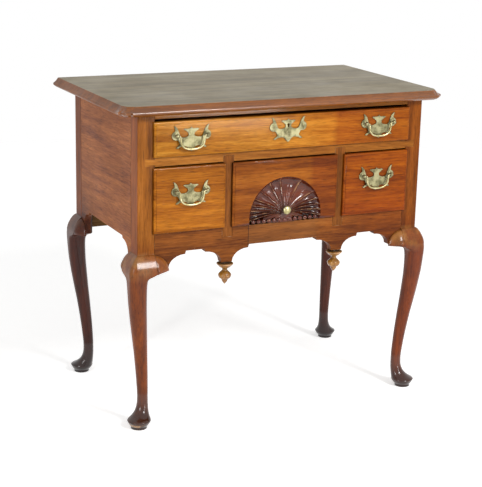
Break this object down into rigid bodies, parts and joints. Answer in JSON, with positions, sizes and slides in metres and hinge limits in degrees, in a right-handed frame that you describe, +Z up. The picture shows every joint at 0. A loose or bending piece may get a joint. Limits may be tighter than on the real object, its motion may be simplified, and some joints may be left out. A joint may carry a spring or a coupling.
{
  "type": "lowboy",
  "caption": "Lowboy with a notched, moulded top, lipped drawers, a carved fan, pierced brass bail pulls, a shaped apron with drop finials, and cabriole legs on pad feet",
  "frame": {"origin": "on the floor, under the middle of the top board", "axes": "+X to the right seen from the front, -Y is the front, +Z up"},
  "size_m": [0.848, 0.486, 0.775],
  "materials": {
    "top_wood": "worn satin varnish over brown walnut, greyed by light",
    "case_wood": "aged red-brown varnish, satin",
    "front_wood": "golden brown varnish over figured walnut, satin",
    "leg_wood": "dark red-brown varnish, glossy on the knees and worn at the feet",
    "secondary_wood": "bare aged softwood, matt",
    "brass": "old polished brass, slightly dulled",
    "iron": "dark wrought iron, dull"
  },
  "bodies": {
    "case": {"top_board": "top_wood", "leg_front_left": "leg_wood", "leg_rear_left": "leg_wood", "knee_block_front_left": "leg_wood", "knee_block_side_front_left": "leg_wood", "knee_block_side_rear_left": "leg_wood", "side_panel_left": "case_wood", "stile_left": "case_wood", "drop_finial_left": "front_wood", "runner_upper_left": "secondary_wood", "runner_lower_left": "secondary_wood", "runner_medial_left": "secondary_wood", "leg_front_right": "leg_wood", "leg_rear_right": "leg_wood", "knee_block_front_right": "leg_wood", "knee_block_side_front_right": "leg_wood", "knee_block_side_rear_right": "leg_wood", "side_panel_right": "case_wood", "stile_right": "case_wood", "drop_finial_right": "front_wood", "runner_upper_right": "secondary_wood", "runner_lower_right": "secondary_wood", "runner_medial_right": "secondary_wood", "top_rail": "case_wood", "drawer_divider": "case_wood", "apron_front": "case_wood", "back_panel": "secondary_wood"},
    "upper_drawer": {"upper_drawer_front": "front_wood", "upper_drawer_side_left": "secondary_wood", "upper_drawer_side_right": "secondary_wood", "upper_drawer_back": "secondary_wood", "upper_drawer_bottom": "secondary_wood", "upper_pull_left": "brass", "upper_pull_right": "brass", "escutcheon": "brass", "lock_body": "iron"},
    "fan_drawer": {"fan_drawer_front": "front_wood", "fan_drawer_side_left": "secondary_wood", "fan_drawer_side_right": "secondary_wood", "fan_drawer_back": "secondary_wood", "fan_drawer_bottom": "secondary_wood", "fan_drawer_knob": "brass"},
    "left_drawer": {"left_drawer_front": "front_wood", "left_drawer_side_left": "secondary_wood", "left_drawer_side_right": "secondary_wood", "left_drawer_back": "secondary_wood", "left_drawer_bottom": "secondary_wood", "left_drawer_pull": "brass"},
    "right_drawer": {"right_drawer_front": "front_wood", "right_drawer_side_left": "secondary_wood", "right_drawer_side_right": "secondary_wood", "right_drawer_back": "secondary_wood", "right_drawer_bottom": "secondary_wood", "right_drawer_pull": "brass"},
    "bail_upper_left": {"upper_bail_left": "brass"},
    "bail_upper_right": {"upper_bail_right": "brass"},
    "bail_left": {"left_drawer_bail": "brass"},
    "bail_right": {"right_drawer_bail": "brass"},
    "bolt": {"lock_bolt": "iron"}
  },
  "joints": [
    {"name": "upper_drawer_slide", "type": "slide", "parent": "case", "child": "upper_drawer", "axis": [0, -1, 0], "range_m": [0, 0.28]},
    {"name": "fan_drawer_slide", "type": "slide", "parent": "case", "child": "fan_drawer", "axis": [0, -1, 0], "range_m": [0, 0.28]},
    {"name": "left_drawer_slide", "type": "slide", "parent": "case", "child": "left_drawer", "axis": [0, -1, 0], "range_m": [0, 0.28]},
    {"name": "right_drawer_slide", "type": "slide", "parent": "case", "child": "right_drawer", "axis": [0, -1, 0], "range_m": [0, 0.28]},
    {"name": "upper_left_bail_hinge", "type": "hinge", "parent": "upper_drawer", "child": "bail_upper_left", "pos_m": [-0.2475, -0.2293, 0.702], "axis": [-1, 0, 0], "range_deg": [0, 100]},
    {"name": "upper_right_bail_hinge", "type": "hinge", "parent": "upper_drawer", "child": "bail_upper_right", "pos_m": [0.2475, -0.2293, 0.702], "axis": [-1, 0, 0], "range_deg": [0, 100]},
    {"name": "left_bail_hinge", "type": "hinge", "parent": "left_drawer", "child": "bail_left", "pos_m": [-0.2475, -0.2293, 0.572], "axis": [-1, 0, 0], "range_deg": [0, 100]},
    {"name": "right_bail_hinge", "type": "hinge", "parent": "right_drawer", "child": "bail_right", "pos_m": [0.2475, -0.2293, 0.572], "axis": [-1, 0, 0], "range_deg": [0, 100]},
    {"name": "bolt_slide", "type": "slide", "parent": "upper_drawer", "child": "bolt", "axis": [0, 0, 1], "range_m": [0, 0.0115]}
  ]
}
